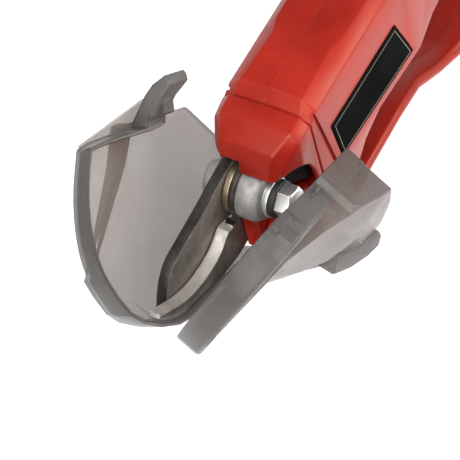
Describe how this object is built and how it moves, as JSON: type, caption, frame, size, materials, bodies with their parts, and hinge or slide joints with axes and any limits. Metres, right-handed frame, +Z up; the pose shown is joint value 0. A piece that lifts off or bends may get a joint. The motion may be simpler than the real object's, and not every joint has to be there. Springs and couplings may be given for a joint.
{
  "type": "cordless branch lopper",
  "caption": "Battery branch lopper with bypass blades inside a hinged smoke-tinted two-part guard, motor body, closed hand loop and slide-on battery.",
  "frame": {"origin": "middle of the battery's flat base, on the surface that the tool stands on", "axes": "+X forward to the blade tips, +Y to the tool's left, +Z up"},
  "size_m": [0.3965, 0.1086, 0.1499],
  "materials": {
    "red_plastic": "satin moulded",
    "black_plastic": "fine-grained moulded",
    "smoke_plastic": "smoke-tinted translucent",
    "cast_metal": "cast and machined",
    "zinc": "zinc plated",
    "blade_steel": "darkened steel",
    "ground_steel": "ground",
    "bronze": "bearing bronze",
    "board_green": "circuit board",
    "copper": "copper and laminated steel",
    "contact_copper": "copper strip",
    "cell_wrap": null
  },
  "bodies": {
    "body": {"housing_left": "red_plastic", "housing_right": "red_plastic", "label_plate": "black_plastic", "housing_screw_1": "zinc", "housing_screw_2": "zinc", "housing_screw_3": "zinc", "housing_screw_4": "zinc", "housing_screw_5": "zinc", "housing_screw_6": "zinc", "housing_screw_7": "zinc", "nose_cover": "red_plastic", "gear_case": "cast_metal", "hook_blade": "blade_steel", "pivot_spacer": "bronze", "pivot_bush": "bronze", "pivot_washer": "zinc", "lock_washer": "black_plastic", "pivot_bolt": "zinc", "hook_screw_1": "zinc", "hook_screw_2": "zinc", "pinion_bearing": "bronze", "gearbox_can": "cast_metal", "motor_can": "zinc", "motor_magnet_1": "black_plastic", "motor_magnet_2": "black_plastic", "motor_end_cap": "black_plastic", "trigger_pin": "zinc", "trigger_spring": "zinc", "switch_body": "black_plastic", "control_board": "board_green", "terminal_block": "black_plastic", "guard_hinge_pin": "zinc"},
    "cutter": {"cutting_blade": "blade_steel"},
    "pinion": {"drive_pinion": "ground_steel"},
    "rotor": {"motor_rotor": "copper"},
    "trigger_lever": {"trigger": "black_plastic"},
    "lock_bolt": {"lock_off_bolt": "black_plastic"},
    "left_guard": {"guard_left": "smoke_plastic"},
    "right_guard": {"guard_right": "smoke_plastic"},
    "battery": {"battery_case_lower": "black_plastic", "battery_case_upper": "black_plastic", "battery_cell_1": "cell_wrap", "battery_cell_2": "cell_wrap", "battery_cell_3": "cell_wrap", "battery_cell_4": "cell_wrap", "battery_cell_5": "cell_wrap", "battery_cell_6": "cell_wrap", "battery_cell_7": "cell_wrap", "battery_cell_8": "cell_wrap", "battery_contact_1": "contact_copper", "battery_contact_2": "contact_copper", "battery_contact_3": "contact_copper", "release_spring": "zinc"},
    "release_button": {"battery_release_button": "red_plastic"}
  },
  "joints": [
    {"name": "blade_pivot", "type": "hinge", "parent": "body", "child": "cutter", "pos_m": [0.262, 0, 0.075], "axis": [0, -1, 0], "range_deg": [0, 45]},
    {"name": "pinion_spin", "type": "hinge", "parent": "body", "child": "pinion", "pos_m": [0.235, 0, 0.075], "axis": [1, 0, 0], "range_deg": [0, 180]},
    {"name": "motor_spin", "type": "hinge", "parent": "body", "child": "rotor", "pos_m": [0.178, 0, 0.075], "axis": [1, 0, 0], "range_deg": [0, 900]},
    {"name": "left_guard_hinge", "type": "hinge", "parent": "body", "child": "left_guard", "pos_m": [0.2633, 0, 0.0395], "axis": [-0.9472, 0, -0.3206], "range_deg": [-31, 60]},
    {"name": "right_guard_hinge", "type": "hinge", "parent": "body", "child": "right_guard", "pos_m": [0.2633, 0, 0.0395], "axis": [0.9472, 0, 0.3206], "range_deg": [-20, 70]},
    {"name": "trigger_press", "type": "hinge", "parent": "body", "child": "trigger_lever", "pos_m": [0.143, 0, 0.0618], "axis": [0, 1, 0], "range_deg": [0, 8], "stiffness_Nm_per_rad": 0.35, "springref_deg": -11.46, "deforming": ["trigger_spring"]},
    {"name": "lock_bolt_slide", "type": "slide", "parent": "body", "child": "lock_bolt", "axis": [0, 1, 0], "range_m": [0, 0.003]},
    {"name": "battery_slide", "type": "slide", "parent": "body", "child": "battery", "axis": [-1, 0, 0], "range_m": [0, 0.1]},
    {"name": "release_button_press", "type": "slide", "parent": "battery", "child": "release_button", "axis": [1, 0, 0], "range_m": [0, 0.003], "stiffness_N_per_m": 800, "springref_m": -0.003, "deforming": ["release_spring"]}
  ],
  "couplings": [
    {"joint": "pinion_spin", "follows": "blade_pivot", "ratio": 4},
    {"joint": "motor_spin", "follows": "blade_pivot", "ratio": 20}
  ]
}
